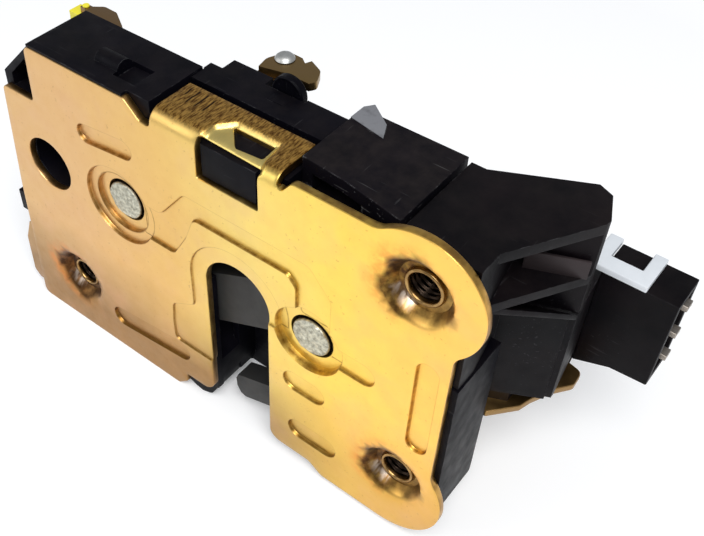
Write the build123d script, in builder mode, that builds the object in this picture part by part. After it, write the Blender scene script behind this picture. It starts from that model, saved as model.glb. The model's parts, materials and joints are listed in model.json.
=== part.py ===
from build123d import *

import os
from math import cos, radians, sin

os.makedirs("parts", exist_ok=True)

# Frame: origin at the centre of the lower left fixing thread, on the floor of its dimple,
# X to the right along the plate, Y into the latch, Z up. Millimetres.
# Depths in the calls below are counted from the plate's front, which lies dimple_depth before the origin.

INWARD = (0, 1, 0)
SUB = Mode.SUBTRACT
LOW = (Align.CENTER, Align.CENTER, Align.MIN)

# ---------------------------------------------------------------- driving dimensions

screw_pitch_x = 78.0
lower_screw_z = 2.0
upper_screw_z = 47.0
screw_bore_r = 2.5

plate_t = 1.5
plate_corners = [
    (-2.0, 54.8), (-2.5, 43.2), (-10.9, 43.2), (-13.0, 18.0), (-14.2, -13.5), (27.0, -13.5), (29.5, -11.2), (29.5, -8.7),
    (44.0, -8.7), (44.0, -10.2), (60.5, -10.2), (63.5, -12.3), (76.3, -12.3), (85.2, -0.5), (85.2, 47.0),
    (80.0, 55.3), (56.0, 55.3), (53.0, 51.5), (27.5, 51.5), (25.2, 51.8), (22.0, 54.8),
]
upper_lobe_r = 11.0
lower_lobe = (76.3, -0.5, 11.8)
side_hole = (-1.7, 29.3, 5.55)
emboss_depth = 0.7
border_depth = 0.4
channel_corners = [
    (22.0, 33.5), (27.5, 33.5), (33.5, 41.0), (59.5, 41.0), (63.9, 36.0), (63.9, 28.0), (57.0, 28.0),
    (57.0, 34.5), (55.3, 36.5), (35.3, 36.5), (33.2, 31.0), (30.0, 25.5), (22.0, 25.5),
]
border_foot = [(37.5, 1.0), (27.2, 1.0), (27.5, 6.0), (28.0, 11.0), (31.0, 14.0), (33.6, 15.5), (37.5, 15.5)]

slot_x = 44.1
slot_w = 14.2
slot_top = 30.5
border_w = 3.4

flange_x0 = 27.5
flange_x1 = 53.0
flange_root = 51.5
flange_top = 55.0
flange_reach = 9.8
bend_r = 2.8
window = (37.0, 49.6, 46.5, 53.4)
flange_slot = (40.0, 49.2, 2.6, 5.6)
lip_w = 1.6
lip_h = 0.7

dish_depth = 1.5
pawl_dish_r = 8.2
claw_dish_r = 6.9
dish_floor_r = 6.4
dimple_r = 5.4
dimple_depth = 2.4

claw_x = 59.4
claw_z = 23.5
pawl_x = 17.3
pawl_z = 30.0
journal_r = 4.0
journal_clearance = 0.04
stub_r = 3.75
stub_hole_r = 4.3
rivet_collar_r = 5.2
rivet_tail_r = 3.0
rivet_head_r = 4.4
rivet_head_t = 1.2
lever_y = 3.45
claw_back_y = 7.55
pawl_back_y = 7.0
boss_back_y = 9.8
back_plate_y = 10.0
back_plate_t = 2.0
housing_back_y = 14.0

claw_hub_r = 11.6
jaw_angle = 206.0
jaw_offset = -2.4
kick_w = 11.2
tooth_r = 15.9
full_tooth_at = 125.0
half_tooth_at = 109.0
cam_rise = 0.8
claw_travel = 32.0
core_inset = 1.0
core_skin = 0.6
claw_peg = (58.2, 12.5)
pawl_peg = (27.3, 36.4)
peg_r = 1.3
post_r = 1.2
claw_post = (70.2, 22.9)
pawl_post = (12.6, 22.5)
spring_boss_r = 5.8
spring_wire_r = 0.4
spring_pitch = 0.82
claw_coil_r = 6.8
pawl_coil_r = 6.4

pawl_hub_r = 7.0
pawl_arm = [
    (19.5, 23.4), (30.0, 31.3), (40.0, 33.0), (48.8, 34.3), (46.9, 37.0), (45.6, 39.5), (30.0, 39.8), (17.3, 37.0),
]
pawl_tail = [(11.6, 28.0), (11.2, 22.6), (14.5, 21.8), (18.0, 23.2)]

claw_reach = 32.2
cavity_r = claw_reach + 1.4
fit = 0.15
housing_corners = [
    (-12.6, -12.4), (29.0, -12.4), (30.4, -13.0), (32.2, -13.4), (34.2, -12.6), (36.0, -11.3), (44.0, -11.3),
    (44.0, -10.4), (61.0, -10.4), (64.0, -11.9), (86.3, -11.9), (86.3, 30.6), (72.8, 30.6), (72.8, 50.2),
    (53.6, 50.2), (53.6, 53.2), (26.4, 53.2), (26.4, 55.3), (-1.3, 55.3), (-11.4, 45.4),
]
hook_relief = [(36.8, -7.0), (36.3, -9.6), (35.2, -11.6), (33.8, -14.0), (46.0, -14.0), (46.0, -7.0)]
reinforcement_corners = [
    (-16.4, 5.2), (-18.6, -0.4), (-18.9, -10.5), (-17.4, -12.2), (6.0, -12.2), (8.0, -8.0), (8.0, 8.0), (-12.0, 8.0),
]
reinforcement_t = 1.4
bush_r = 4.6
bush_neck_r = 3.2
bush_back_y = 10.2

switch_x = claw_x + claw_hub_r + 3.0
switch_size = (10.5, 5.4, 9.0)
plunger_r = 0.8
plunger_gap = 0.2

carrier_z0 = 24.0
lever_z = 53.6
lever_t = 1.5
release_pivot = (35.2, 24.4)
lock_pivot = (2.8, 41.0)
lock_pin_r = 1.5
lock_lever_y = housing_back_y + 0.4
lock_lever_t = 1.2
lock_lever_plan = [(-2.4, 0.0), (-2.0, 1.8), (-0.3, 3.1), (2.8, 3.0), (6.6, 0.6), (7.4, 0.0)]
lock_lever_tip = [(-3.8, 0.4), (-3.8, 1.8), (-1.9, 1.8), (-2.2, 0.4)]
lock_lever_z = 53.4
clip_peg = (-3.0, 1.1, 0.4)
knob = (41.4, 54.6, 3.6)
knob_pin_r = 1.45
knob_y = housing_back_y + 3.1
knob_t = 1.7

seam_z = 30.9
top_z = 55.3
leg_plan = [
    (56.0, 14.3), (84.2, 14.3), (84.2, 17.2), (94.0, 21.6), (94.0, 22.5), (92.2, 34.0), (92.2, 42.2), (89.0, 44.5),
    (86.0, 48.0), (56.0, 48.0),
]
leg_side = [(14.0, 12.0), (50.0, 12.0), (50.0, 27.6), (44.0, 29.6), (24.0, 36.0), (14.0, 36.0)]
block_plan = [
    (73.2, 1.8), (86.0, 1.8), (86.0, 6.0), (84.2, 16.2), (94.3, 20.4), (94.4, 21.4), (92.3, 26.3), (89.8, 27.4),
    (75.7, 20.3), (73.2, 20.2),
]
wing_plan = [(85.9, 6.2), (94.3, 20.4), (84.2, 16.2)]
cover_y = 48.0
cover_t = 2.0
cover_screw_at = [(59.8, 16.0), (59.8, 25.4), (82.5, 16.0), (82.5, 25.4)]
cover_screw_r = 1.2

motor_at = (65.6, 21.0)
motor_r = 7.3
motor_flat = 6.2
motor_y = (16.4, 31.0)
shaft_r = 1.0
worm_r = 2.5
worm_tooth = 0.9
gear_at = (74.2, 38.6)
gear_r = 6.5
gear_teeth = 24
gear_gap_r = 0.42
gear_t = 4.0
axle_r = 1.8
crank_r = 4.2
crank_pin_r = 1.3
gear_travel = 75.0
terminal_z = (31.0, 24.6, 18.9)


# ---------------------------------------------------------------- helpers


def at(y):
    return Plane.XZ.offset(dimple_depth - y)


def level(z):
    return Plane(origin=(0, -dimple_depth, z))


def across(x):
    return Plane(origin=(x, -dimple_depth, 0), x_dir=(0, 1, 0), z_dir=(1, 0, 0))


def block(x0, x1, y0, y1, z0, z1, mode=Mode.ADD):
    with Locations(((x0 + x1) / 2, (y0 + y1) / 2 - dimple_depth, (z0 + z1) / 2)):
        Box(x1 - x0, y1 - y0, z1 - z0, mode=mode)


def rod(x, z, r, y0, y1, mode=Mode.ADD):
    with Locations(Location((x, y0 - dimple_depth, z), (-90, 0, 0))):
        Cylinder(r, y1 - y0, align=LOW, mode=mode)


def drum(x, z, r0, r1, y0, y1, mode=Mode.ADD):
    with Locations(Location((x, y0 - dimple_depth, z), (-90, 0, 0))):
        Cone(r0, r1, y1 - y0, align=LOW, mode=mode)


def column(x, y, r, z0, z1, mode=Mode.ADD):
    with Locations((x, y - dimple_depth, z0)):
        Cylinder(r, z1 - z0, align=LOW, mode=mode)


def axle(x0, x1, y, z, r, mode=Mode.ADD):
    with Locations(Location((x0, y - dimple_depth, z), (0, 90, 0))):
        Cylinder(r, x1 - x0, align=LOW, mode=mode)


def near(sketch, x, z):
    return sketch.vertices().sort_by_distance((x, z, 0))[0]


def polar(r, angle):
    return (claw_x + r * cos(radians(angle)), claw_z + r * sin(radians(angle)))


screws = [(0.0, 0.0), (screw_pitch_x, lower_screw_z), (screw_pitch_x, upper_screw_z)]
pivots = [(claw_x, claw_z), (pawl_x, pawl_z)]
slot_x0 = slot_x - slot_w / 2
slot_x1 = slot_x + slot_w / 2
slot_arc_z = slot_top - slot_w / 2

# ---------------------------------------------------------------- face plate and its bushes

with BuildPart() as face_plate:
    with BuildSketch(at(0)) as plate_outline:
        Polygon(*plate_corners, align=None)
        with Locations((screw_pitch_x, upper_screw_z)):
            Circle(upper_lobe_r)
        with Locations(lower_lobe[:2]):
            Circle(lower_lobe[2])
        for px, pz, pr in [(-2.0, 54.8, 1.5), (-10.9, 43.2, 1.0), (-14.2, -13.5, 1.5), (27.0, -13.5, 1.5)]:
            fillet(near(plate_outline, px, pz), pr)
        for px, pz in [(85.2, 7.3), (85.2, 38.7), (70.8, 55.3)]:
            fillet(near(plate_outline, px, pz), 4.0)
        with Locations((slot_x, (slot_arc_z - 20) / 2)):
            Rectangle(slot_w, slot_arc_z + 20, mode=SUB)
        with Locations((slot_x, slot_arc_z)):
            Circle(slot_w / 2, mode=SUB)
        fillet(near(plate_outline, slot_x0, -8.7), 3.0)
        fillet(near(plate_outline, slot_x1, -10.2), 2.5)
        with Locations(side_hole[:2]):
            Circle(side_hole[2], mode=SUB)
    extrude(amount=plate_t, dir=INWARD)
    with BuildSketch(across(flange_x0)) as flange_profile:
        with Locations((0, flange_root - 1.0)):
            Rectangle(plate_t, flange_top - flange_root + 1.0, align=(Align.MIN, Align.MIN))
        with Locations((0, flange_top - plate_t)):
            Rectangle(flange_reach, plate_t, align=(Align.MIN, Align.MIN))
        fillet(near(flange_profile, 0, flange_top), bend_r)
        fillet(near(flange_profile, plate_t, flange_top - plate_t), bend_r - plate_t)
    extrude(amount=flange_x1 - flange_x0)
    block(window[0], window[1], -1, 3, window[2], window[3], SUB)
    block(flange_slot[0] - lip_w, flange_slot[1] + lip_w, 1.9, 7.0, flange_top - 1.2, flange_top + lip_h)
    block(flange_slot[0], flange_slot[1], flange_slot[2], flange_slot[3], 52.0, 57.0, SUB)
    drum(16.9, 29.4, 9.4, 8.0, plate_t - 0.1, 3.0)
    drum(claw_x, claw_z, 8.4, 7.6, plate_t - 0.1, 3.0)
    drum(16.9, 29.4, pawl_dish_r, dish_floor_r + 0.2, 0, dish_depth, SUB)
    drum(claw_x, claw_z, claw_dish_r, dish_floor_r, 0, dish_depth, SUB)
    for px, pz in pivots:
        rod(px, pz, stub_hole_r, -1, 4, SUB)
    for px, pz in screws:
        drum(px, pz, 7.0, 6.0, plate_t - 0.1, dimple_depth + plate_t)
        drum(px, pz, dimple_r + 0.6, dimple_r - 1.0, 0, dimple_depth, SUB)
        rod(px, pz, bush_neck_r, -1, 5, SUB)
    with BuildSketch(at(0)) as channel_face:
        Polygon(*channel_corners, align=None)
        for px, pz in [(59.5, 41.0), (27.5, 33.5), (33.5, 41.0), (35.3, 36.5), (30.0, 25.5), (63.9, 36.0)]:
            fillet(near(channel_face, px, pz), 1.8)
    extrude(amount=emboss_depth, dir=INWARD, mode=SUB)
    with BuildSketch(at(0)):
        Polygon(*border_foot, align=None)
        with Locations((slot_x0 - border_w, 12.0)):
            Rectangle(border_w + 1, slot_arc_z - 12.0, align=(Align.MIN, Align.MIN))
        with Locations((slot_x, slot_arc_z)):
            Circle(slot_w / 2 + border_w)
        with Locations((slot_x, 0)):
            Rectangle(60, slot_arc_z, align=(Align.MIN, Align.MIN), mode=SUB)
    extrude(amount=border_depth, dir=INWARD, mode=SUB)
    with BuildSketch(at(0)):
        with Locations(Location((15.5, 43.0, 0), (0, 0, 7))):
            SlotOverall(13.5, 4.0)
        with Locations(Location((20.4, -2.8, 0), (0, 0, 6.5))):
            SlotOverall(21.5, 5.0)
        with Locations((81.7, 23.8)):
            SlotOverall(22.0, 4.0, rotation=90)
        with Locations((66.5, 23.9)):
            SlotOverall(13.0, 4.8)
        with Locations((59.0, 10.9)):
            SlotOverall(9.0, 4.8)
        with Locations((61.1, -2.3)):
            SlotOverall(10.8, 5.0)
    extrude(amount=emboss_depth, dir=INWARD, mode=SUB)
face_plate.part.label = "face_plate"
export_step(face_plate.part, "parts/face_plate.step")

with BuildPart() as threaded_bushes:
    for px, pz in screws:
        rod(px, pz, bush_neck_r, dimple_depth - 0.1, dimple_depth + plate_t)
        rod(px, pz, bush_r, dimple_depth + plate_t, bush_back_y)
        rod(px, pz, screw_bore_r, 0, bush_back_y + 1, SUB)
threaded_bushes.part.label = "threaded_bushes"
export_step(threaded_bushes.part, "parts/threaded_bushes.step")

with BuildPart() as reinforcement_plate:
    with BuildSketch(at(plate_t)) as reinforcement_face:
        Polygon(*reinforcement_corners, align=None)
        fillet(near(reinforcement_face, -18.6, -0.4), 2.0)
        fillet(near(reinforcement_face, -18.9, -10.5), 1.0)
        Circle(7.4, mode=SUB)
    extrude(amount=reinforcement_t, dir=INWARD)
reinforcement_plate.part.label = "reinforcement_plate"
export_step(reinforcement_plate.part, "parts/reinforcement_plate.step")

# ---------------------------------------------------------------- latch housing and back plate

with BuildPart() as latch_housing:
    with BuildSketch(at(plate_t)) as housing_outline:
        Polygon(*housing_corners, align=None)
        fillet(near(housing_outline, 86.3, -11.9), 8.0)
        fillet(near(housing_outline, -12.6, -12.4), 1.5)
    extrude(amount=housing_back_y - plate_t, dir=INWARD)
    with BuildSketch(at(plate_t)) as mechanism_room:
        with Locations((claw_x, claw_z)):
            Circle(cavity_r)
        with Locations((24.0, -9.3)):
            Rectangle(48.4, 42.3, align=(Align.MIN, Align.MIN), mode=Mode.INTERSECT)
        with Locations((7.3, 19.8)):
            Rectangle(61.2, 28.7, align=(Align.MIN, Align.MIN))
    extrude(amount=12.0 - plate_t, dir=INWARD, mode=SUB)
    block(slot_x1, 68.0, 3.1, 8.2, -16.0, -9.0, SUB)
    block(slot_x0 - 0.2, slot_x1 + 0.2, plate_t - 0.1, 13.0, -20, slot_arc_z, SUB)
    with BuildSketch(at(plate_t)):
        Polygon(*hook_relief, align=None)
    extrude(amount=13.0 - plate_t, dir=INWARD, mode=SUB)
    block(35.4, 36.8, 8.2, 12.0, -9.0, 23.0)
    block(35.6, 36.8, plate_t, 3.1, -9.0, 22.0)
    block(51.4, 52.8, 8.2, 12.0, -10.3, 15.0)
    block(51.4, 52.6, plate_t, 3.1, -10.3, 14.0)
    for px, pz in pivots:
        rod(px, pz, rivet_head_r + 0.6, 11, 15, SUB)
    for px, pz in screws:
        rod(px, pz, 7.4, 1, 4.4, SUB)
        rod(px, pz, bush_r + 0.1, 4, bush_back_y + 0.2, SUB)
    rod(side_hole[0], side_hole[1], 5.4, 1, 11, SUB)
    with BuildSketch(at(plate_t)):
        Polygon((-9.3, 43.0), (-9.3, 45.6), (-1.3, 53.7), (3.0, 53.7), (3.0, 43.0), align=None)
    extrude(amount=9.0, dir=INWARD, mode=SUB)
    with BuildSketch(at(1.0)):
        Polygon(*[(px - fit, pz) for px, pz in reinforcement_corners[:4]], (6.0, -13.5), (8.2, -13.5),
                (8.2, 8.2), (-13.0, 8.2), align=None)
    extrude(amount=0.5 + reinforcement_t + fit, dir=INWARD, mode=SUB)
    block(-17.4, -12.0, 1.7, 3.4, 8.6, 13.6)
    block(-1.3, 21.5, 0.2, plate_t + 0.1, 54.85, top_z)
    block(window[0] + 0.8, window[1] - 0.8, 0.7, plate_t + 0.1, 47.0, 53.2)
    block(flange_x0 - 0.3, flange_x1 + 0.6, 0, flange_reach + 0.3, 53.2, 60, SUB)
    block(flange_x0 - 0.3, window[0] - 0.1, 1.4, 2.3, 51.4, 54, SUB)
    block(window[1] + 0.1, flange_x1 + 0.7, 1.4, 2.3, 51.4, 54, SUB)
    axle(11.2, 16.6, 6.0, top_z - 0.6, 1.9)
    block(16.6, 21.5, 3.2, 8.0, 54.3, 56, SUB)
    block(-9.0, 6.5, 11.3, 15, -10.6, 18, SUB)
    block(8.3, 24.0, 4.0, 15, -10.6, 17.8, SUB)
    block(claw_x + claw_hub_r, switch_x + switch_size[0] + 0.1, 1, 3.4 + switch_size[1], 18.9, 28.1, SUB)
    block(74.5, 84.4, 10.6, 15, 12.0, 28.0, SUB)
latch_housing.part.label = "latch_housing"
export_step(latch_housing.part, "parts/latch_housing.step")

with BuildPart() as back_plate:
    with BuildSketch(at(back_plate_y)) as back_face:
        with Locations((claw_x, claw_z)):
            Circle(cavity_r - 0.2)
        with Locations((24.0, -9.1)):
            Rectangle(48.2, 41.9, align=(Align.MIN, Align.MIN), mode=Mode.INTERSECT)
        with Locations((7.5, 20.0)):
            Rectangle(60.8, 28.3, align=(Align.MIN, Align.MIN))
        with Locations((35.2, -20)):
            Rectangle(17.8, 51.6, align=(Align.MIN, Align.MIN), mode=SUB)
        with Locations(*pivots):
            Circle(rivet_tail_r, mode=SUB)
    extrude(amount=back_plate_t, dir=INWARD)
    for px, pz in [claw_post, pawl_post]:
        rod(px, pz, post_r, 7.9, back_plate_y + 0.5)
back_plate.part.label = "back_plate"
export_step(back_plate.part, "parts/back_plate.step")

# ---------------------------------------------------------------- pivots

with BuildPart() as claw_rivet:
    rod(claw_x, claw_z, stub_r, 1.2, 3.0)
    rod(claw_x, claw_z, rivet_collar_r, 3.0, 3.4)
    rod(claw_x, claw_z, journal_r, 3.4, back_plate_y)
    rod(claw_x, claw_z, rivet_tail_r, back_plate_y, 12.1)
    rod(claw_x, claw_z, rivet_head_r, back_plate_y + back_plate_t, back_plate_y + back_plate_t + rivet_head_t)
claw_rivet.part.label = "claw_rivet"
export_step(claw_rivet.part, "parts/claw_rivet.step")

with BuildPart() as pawl_rivet:
    rod(pawl_x, pawl_z, stub_r, 1.2, 3.0)
    rod(pawl_x, pawl_z, rivet_collar_r, 3.0, 3.4)
    rod(pawl_x, pawl_z, journal_r, 3.4, back_plate_y)
    rod(pawl_x, pawl_z, rivet_tail_r, back_plate_y, 12.1)
    rod(pawl_x, pawl_z, rivet_head_r, back_plate_y + back_plate_t, back_plate_y + back_plate_t + rivet_head_t)
pawl_rivet.part.label = "pawl_rivet"
export_step(pawl_rivet.part, "parts/pawl_rivet.step")

# ---------------------------------------------------------------- claw

jaw_out = (cos(radians(jaw_angle)), sin(radians(jaw_angle)))
jaw_up = (sin(radians(jaw_angle)), -cos(radians(jaw_angle)))


def jaw(along, side):
    return (claw_x + along * jaw_out[0] + side * jaw_up[0], claw_z + along * jaw_out[1] + side * jaw_up[1])


kick_jaw = [
    jaw(0, jaw_offset), jaw(claw_reach - 0.6, jaw_offset), jaw(claw_reach, jaw_offset + 3.5),
    jaw(claw_reach - 1.6, jaw_offset + 8.0), jaw(claw_reach - 5.2, jaw_offset + kick_w - 0.2),
    jaw(claw_reach - 8.2, jaw_offset + kick_w), jaw(0, jaw_offset + kick_w),
]
catch_jaw = [
    (51.4, 16.0), (51.4, 1.6), (50.3, -0.1), (41.6, -3.2), (40.4, -3.7), (39.9, -5.0), (40.1, -7.2), (41.0, -8.8),
    (42.2, -9.2), (54.0, -5.0), (56.6, -2.6), (57.8, 1.0), (58.8, 8.0), (60.5, 12.6),
]
cam_lobe = [(claw_x, claw_z)]
cam_lobe += [polar(claw_hub_r + cam_rise * a / claw_travel, -a) for a in range(0, 33, 4)]
cam_lobe += [polar(claw_hub_r, -50.0)]
full_tooth = [
    (claw_x, claw_z), polar(12.3, full_tooth_at), polar(tooth_r, full_tooth_at), polar(tooth_r, full_tooth_at - 5),
    polar(13.4, full_tooth_at - 9), polar(11.0, full_tooth_at - 12),
]
half_tooth = [
    (claw_x, claw_z), polar(12.3, half_tooth_at), polar(16.0, half_tooth_at), polar(15.6, half_tooth_at - 6),
    polar(12.6, half_tooth_at - 16), polar(11.0, half_tooth_at - 30),
]

with BuildPart() as claw_core:
    with BuildSketch(at(lever_y + core_skin)) as core_face:
        with Locations((claw_x, claw_z)):
            Circle(claw_hub_r)
        Polygon(*kick_jaw, align=None)
        Polygon(*catch_jaw, align=None)
        offset(amount=-core_inset, mode=Mode.REPLACE)
        Polygon(*full_tooth, align=None)
        Polygon(*half_tooth, align=None)
        with Locations((claw_x, claw_z)):
            Circle(journal_r + journal_clearance, mode=SUB)
    extrude(amount=claw_back_y - lever_y - 2 * core_skin, dir=INWARD)
claw_core.part.label = "claw_core"
export_step(claw_core.part, "parts/claw_core.step")

with BuildPart() as claw_cover:
    with BuildSketch(at(lever_y)) as cover_face:
        with Locations((claw_x, claw_z)):
            Circle(claw_hub_r)
        Polygon(*kick_jaw, align=None)
        Polygon(*catch_jaw, align=None)
        Polygon(*cam_lobe, align=None)
    extrude(amount=claw_back_y - lever_y, dir=INWARD)
    rod(claw_x, claw_z, spring_boss_r, claw_back_y - 0.1, boss_back_y)
    rod(claw_peg[0], claw_peg[1], peg_r, claw_back_y - 0.1, boss_back_y)
    add(claw_core.part, mode=SUB)
    rod(claw_x, claw_z, journal_r + 0.3, 0, 12, SUB)
claw_cover.part.label = "claw_cover"
export_step(claw_cover.part, "parts/claw_cover.step")

# ---------------------------------------------------------------- pawl

with BuildPart() as pawl:
    with BuildSketch(at(lever_y)) as pawl_face:
        with Locations((pawl_x, pawl_z)):
            Circle(pawl_hub_r)
        Polygon(*pawl_arm, align=None)
        Polygon(*pawl_tail, align=None)
        fillet(near(pawl_face, 45.6, 39.5), 0.8)
    extrude(amount=pawl_back_y - lever_y, dir=INWARD)
    rod(pawl_x, pawl_z, spring_boss_r - 0.2, pawl_back_y - 0.1, boss_back_y)
    rod(pawl_peg[0], pawl_peg[1], peg_r, pawl_back_y - 0.1, boss_back_y)
    rod(pawl_x, pawl_z, journal_r + journal_clearance, 0, 12, SUB)
pawl.part.label = "pawl"
export_step(pawl.part, "parts/pawl.step")


# ---------------------------------------------------------------- springs

claw_coil_at = Plane(
    origin=(claw_x, 9.35 - dimple_depth, claw_z), x_dir=(cos(radians(60.2)), 0, sin(radians(60.2))), z_dir=(0, -1, 0)
)
claw_helix = claw_coil_at.location * Helix(spring_pitch, spring_pitch * 1.388, claw_coil_r)
pawl_coil_at = Plane(origin=(pawl_x, 9.3 - dimple_depth, pawl_z), x_dir=(-1, 0, 0), z_dir=(0, -1, 0))
pawl_helix = pawl_coil_at.location * Helix(spring_pitch, spring_pitch * 1.2225, pawl_coil_r, lefthand=True)


def sprung_wire(helix, first_leg, last_leg):
    start, finish = helix @ 0, helix @ 1
    return Wire([
        Line(start - (helix % 0) * first_leg, start).edge(),
        helix.edge(),
        Line(finish, finish + (helix % 1) * last_leg).edge(),
    ])


with BuildPart() as claw_spring:
    claw_wire = sprung_wire(claw_helix, 9.2, 12.0)
    with BuildSketch(Plane(origin=claw_wire @ 0, z_dir=claw_wire % 0)):
        Circle(spring_wire_r)
    sweep(path=claw_wire)
claw_spring.part.label = "claw_spring"
export_step(claw_spring.part, "parts/claw_spring.step")

with BuildPart() as pawl_spring:
    pawl_wire = sprung_wire(pawl_helix, 9.0, 11.8)
    with BuildSketch(Plane(origin=pawl_wire @ 0, z_dir=pawl_wire % 0)):
        Circle(spring_wire_r)
    sweep(path=pawl_wire)
pawl_spring.part.label = "pawl_spring"
export_step(pawl_spring.part, "parts/pawl_spring.step")

# ---------------------------------------------------------------- buffer, top cap, switch

with BuildPart() as striker_buffer:
    with BuildSketch(at(8.2)):
        with Locations((slot_x, 27.2)):
            RectangleRounded(10.0, 6.0, 1.5)
    extrude(amount=3.8, dir=INWARD)
striker_buffer.part.label = "striker_buffer"
export_step(striker_buffer.part, "parts/striker_buffer.step")

with BuildPart() as top_cap:
    with BuildSketch(level(50.4)):
        Polygon((53.9, 5.3), (62.0, 4.6), (72.7, 2.7), (72.7, 20.2), (53.9, 20.2), align=None)
    extrude(amount=5.7)
    block(53.9, 72.7, 1.8, 6.0, 50.4, 51.4)
    with BuildSketch(level(51.0)):
        Polygon((53.9, 17.0), (53.9, 20.4), (55.0, 21.9), (59.3, 18.8), (60.8, 15.7), align=None)
    extrude(amount=5.3)
    block(55.9, 70.8, 4.0, 18.5, 50.3, 53.8, SUB)
    rod(screw_pitch_x, upper_screw_z, 7.3, 1, 4.6, SUB)
top_cap.part.label = "top_cap"
export_step(top_cap.part, "parts/top_cap.step")

with BuildPart() as microswitch_case:
    block(switch_x, switch_x + switch_size[0], 3.3, 3.3 + switch_size[1], 19.0, 28.0)
    axle(switch_x - 1, switch_x + 3.4, 5.55, claw_z, plunger_r + 0.05, SUB)
microswitch_case.part.label = "microswitch_case"
export_step(microswitch_case.part, "parts/microswitch_case.step")

with BuildPart() as switch_plunger:
    axle(claw_x + claw_hub_r + plunger_gap + 0.4, switch_x + 2.0, 5.55, claw_z, plunger_r)
    with Locations((claw_x + claw_hub_r + plunger_gap + plunger_r, 5.55 - dimple_depth, claw_z)):
        Sphere(plunger_r)
switch_plunger.part.label = "switch_plunger"
export_step(switch_plunger.part, "parts/switch_plunger.step")

# ---------------------------------------------------------------- lever group on the top

with BuildPart() as lever_carrier:
    block(26.4, 53.4, housing_back_y + 0.2, housing_back_y + 2.0, carrier_z0, top_z - 0.3)
    block(44.6, 53.4, housing_back_y + 1.5, housing_back_y + 3.7, carrier_z0, top_z - 0.3)
    block(28.9, 44.8, housing_back_y + 1.5, housing_back_y + 2.9, carrier_z0, top_z - 0.3)
    block(28.9, 37.2, housing_back_y + 0.5, housing_back_y + 5.0, 40.0, top_z - 0.3)
    block(26.6, 53.2, 11.0, housing_back_y + 0.5, 53.4, top_z - 0.3)
    rod(knob[0], knob[1], knob[2] + 0.3, knob_y - 0.1, 25, SUB)
    rod(knob[0], knob[1], knob_pin_r + 0.05, housing_back_y, 25, SUB)
lever_carrier.part.label = "lever_carrier"
export_step(lever_carrier.part, "parts/lever_carrier.step")

with BuildPart() as key_cam:
    rod(knob[0], knob[1], knob[2], knob_y, knob_y + knob_t)
    rod(knob[0], knob[1], knob_pin_r, housing_back_y + 0.3, knob_y + knob_t)
    for a in range(0, 360, 30):
        px, pz = knob[0] + (knob[2] - 0.9) * cos(radians(a)), knob[1] + (knob[2] - 0.9) * sin(radians(a))
        rod(px, pz, 0.35, knob_y - 1, knob_y + 0.3, SUB)
key_cam.part.label = "key_cam"
export_step(key_cam.part, "parts/key_cam.step")

with BuildPart() as release_lever:
    with BuildSketch(level(lever_z)) as lever_plan:
        Polygon((33.2, 20.0), (32.7, 22.6), (33.7, 24.9), (35.2, 26.4), (37.4, 26.3), (38.6, 25.4), (39.1, 26.6),
                (42.0, 25.2), (43.4, 22.4), (42.6, 21.2), (38.0, 21.2), align=None)
        for px, pz, r in [(33.7, 24.9, 1.2), (35.2, 26.4, 0.6), (42.0, 25.2, 1.3), (43.4, 22.4, 1.2), (32.7, 22.6, 2.0)]:
            fillet(near(lever_plan, px, pz), r)
        with Locations(release_pivot):
            Circle(1.1, mode=SUB)
    extrude(amount=lever_t)
    block(37.9, 39.6, 21.2, 22.6, 44.0, lever_z + 0.1)
release_lever.part.label = "release_lever"
export_step(release_lever.part, "parts/release_lever.step")

with BuildPart() as release_rivet:
    column(release_pivot[0], release_pivot[1], 1.06, 50.5, 55.4)
    column(release_pivot[0], release_pivot[1], 1.8, 55.2, 56.1)
release_rivet.part.label = "release_rivet"
export_step(release_rivet.part, "parts/release_rivet.step")

with BuildPart() as pivot_arm:
    with BuildSketch(level(51.4)):
        Polygon((31.5, 18.6), (38.0, 18.6), (36.9, 24.8), (33.5, 24.8), align=None)
        with Locations(release_pivot):
            Circle(1.9)
    extrude(amount=2.1)
    block(31.5, 37.0, 19.0, 20.4, 44.0, 53.5)
    column(release_pivot[0], release_pivot[1], 1.06, 40, 60, SUB)
    block(26, 40, 10, 19.0, 40, 60, SUB)
pivot_arm.part.label = "pivot_arm"
export_step(pivot_arm.part, "parts/pivot_arm.step")

with BuildPart() as lock_lever:
    with BuildSketch(level(lock_lever_z)) as lock_plan:
        Polygon(*[(px, lock_lever_y + py) for px, py in lock_lever_plan], align=None)
        for px, py in lock_lever_plan[2:4]:
            fillet(near(lock_plan, px, lock_lever_y + py), 1.2)
        Polygon(*[(px, lock_lever_y + py) for px, py in lock_lever_tip], align=None)
    extrude(amount=1.4)
    block(0.4, 5.2, lock_lever_y, lock_lever_y + lock_lever_t, lock_pivot[1], 53.5)
    rod(lock_pivot[0], lock_pivot[1], 3.4, lock_lever_y, lock_lever_y + lock_lever_t)
    rod(lock_pivot[0], lock_pivot[1], lock_pin_r + 0.04, 10, 20, SUB)
    column(clip_peg[0], lock_lever_y + clip_peg[1], clip_peg[2] + 0.02, 50, 60, SUB)
lock_lever.part.label = "lock_lever"
export_step(lock_lever.part, "parts/lock_lever.step")

with BuildPart() as lock_rivet:
    rod(lock_pivot[0], lock_pivot[1], 2.6, housing_back_y, lock_lever_y - 0.05)
    rod(lock_pivot[0], lock_pivot[1], lock_pin_r, housing_back_y, lock_lever_y + lock_lever_t + 0.1)
    rod(lock_pivot[0], lock_pivot[1], 2.6, lock_lever_y + lock_lever_t + 0.05, lock_lever_y + lock_lever_t + 0.7)
lock_rivet.part.label = "lock_rivet"
export_step(lock_rivet.part, "parts/lock_rivet.step")

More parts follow.
